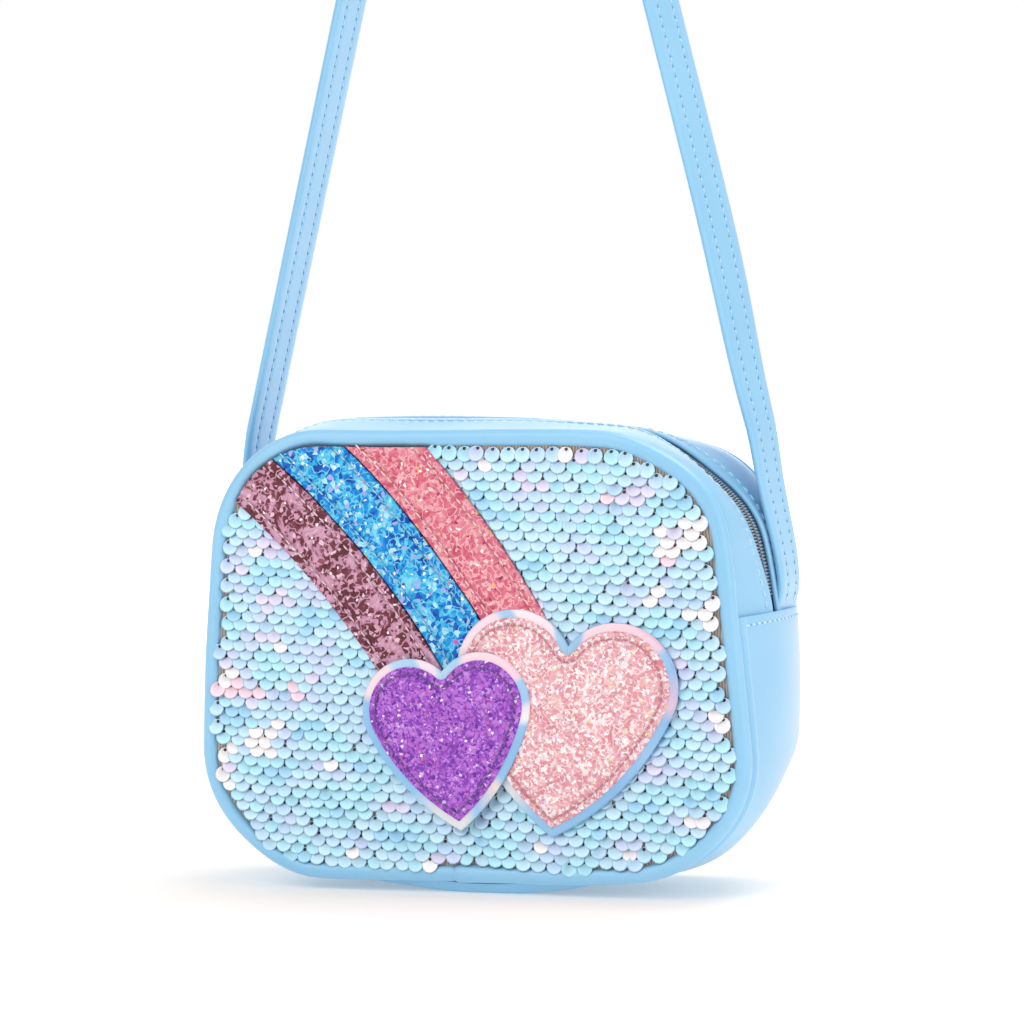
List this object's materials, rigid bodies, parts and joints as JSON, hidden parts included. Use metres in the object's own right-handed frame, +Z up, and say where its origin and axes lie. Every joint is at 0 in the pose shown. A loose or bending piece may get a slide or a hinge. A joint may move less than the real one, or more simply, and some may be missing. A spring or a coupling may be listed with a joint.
{
  "type": "crossbody purse",
  "caption": "Small rounded box purse with a sequin front, curved glitter stripes, two heart patches, a zip over its top and one long shoulder strap.",
  "frame": {"origin": "middle of the flat base, on the surface that the bag stands on", "axes": "+Z up, the sequin front faces -Y, +X to the right of someone who looks at the front"},
  "size_m": [0.193, 0.0665, 0.4623],
  "materials": {
    "blue_leather": "smooth synthetic leather, satin",
    "foam": "thin padding foam",
    "lining": "plain woven polyester",
    "zip_tape": "woven zip tape",
    "zip_teeth": "silver grey moulded teeth",
    "zip_metal": "plated die casting",
    "filler_cord": "paper filler cord",
    "sequins": "pearl film sequins",
    "ground_cloth": "knitted ground cloth",
    "patch_film": "iridescent film",
    "pink_glitter": "coarse glitter cloth",
    "purple_glitter": "coarse glitter cloth",
    "rose_glitter": "coarse glitter cloth",
    "blue_glitter": "coarse glitter cloth",
    "coral_glitter": "coarse glitter cloth"
  },
  "bodies": {
    "bag_body": {"lower_gusset": "blue_leather", "gusset_foam": "foam", "gusset_lining": "lining", "back_panel": "blue_leather", "back_foam": "foam", "back_lining": "lining", "zip_strip_rear": "blue_leather", "zip_lining_rear": "lining", "zip_tape_rear": "zip_tape", "zip_teeth_rear": "zip_teeth", "zip_end_stops": "zip_teeth", "zip_strip_front_ends": "blue_leather", "ground_cloth_lower": "ground_cloth", "sequin_field_lower": "sequins", "front_foam_lower": "foam", "front_lining_lower": "lining", "piping_lower": "blue_leather", "piping_core_lower": "filler_cord", "heart_large_backing": "patch_film", "heart_large_face": "pink_glitter", "heart_small_backing": "patch_film", "heart_small_face": "purple_glitter", "strap_end_right": "blue_leather", "strap_end_left": "blue_leather"},
    "front_flap": {"ground_cloth_upper": "ground_cloth", "sequin_field_upper": "sequins", "front_foam_upper": "foam", "front_lining_upper": "lining", "piping_upper": "blue_leather", "piping_core_upper": "filler_cord", "zip_strip_front": "blue_leather", "zip_lining_front": "lining", "zip_tape_front": "zip_tape", "zip_teeth_front": "zip_teeth", "stripe_rose": "rose_glitter", "stripe_blue": "blue_glitter", "stripe_coral": "coral_glitter"},
    "zip_slider": {"zip_slider": "zip_metal"},
    "zip_pull": {"zip_pull": "zip_metal"},
    "strap": {"strap": "blue_leather"}
  },
  "joints": [
    {"name": "mouth_open", "type": "hinge", "parent": "bag_body", "child": "front_flap", "pos_m": [0, -0.0323, 0.09364], "axis": [1, 0, 0], "range_deg": [0, 30], "deforming": ["zip_tape_front", "zip_teeth_front", "stripe_rose", "stripe_blue", "stripe_coral"]},
    {"name": "zip_travel", "type": "hinge", "parent": "bag_body", "child": "zip_slider", "pos_m": [-0.0475, -0.0035, 0.1065], "axis": [0, 1, 0], "range_deg": [0, 68.5]},
    {"name": "pull_swing", "type": "hinge", "parent": "zip_slider", "child": "zip_pull", "pos_m": [-0.09086, -0.0035, 0.11669], "axis": [0, 1, 0], "range_deg": [0, 115]},
    {"name": "strap_swing", "type": "hinge", "parent": "bag_body", "child": "strap", "pos_m": [0, 0.0122, 0.12864], "axis": [1, 0, 0], "range_deg": [-90, 45]}
  ]
}
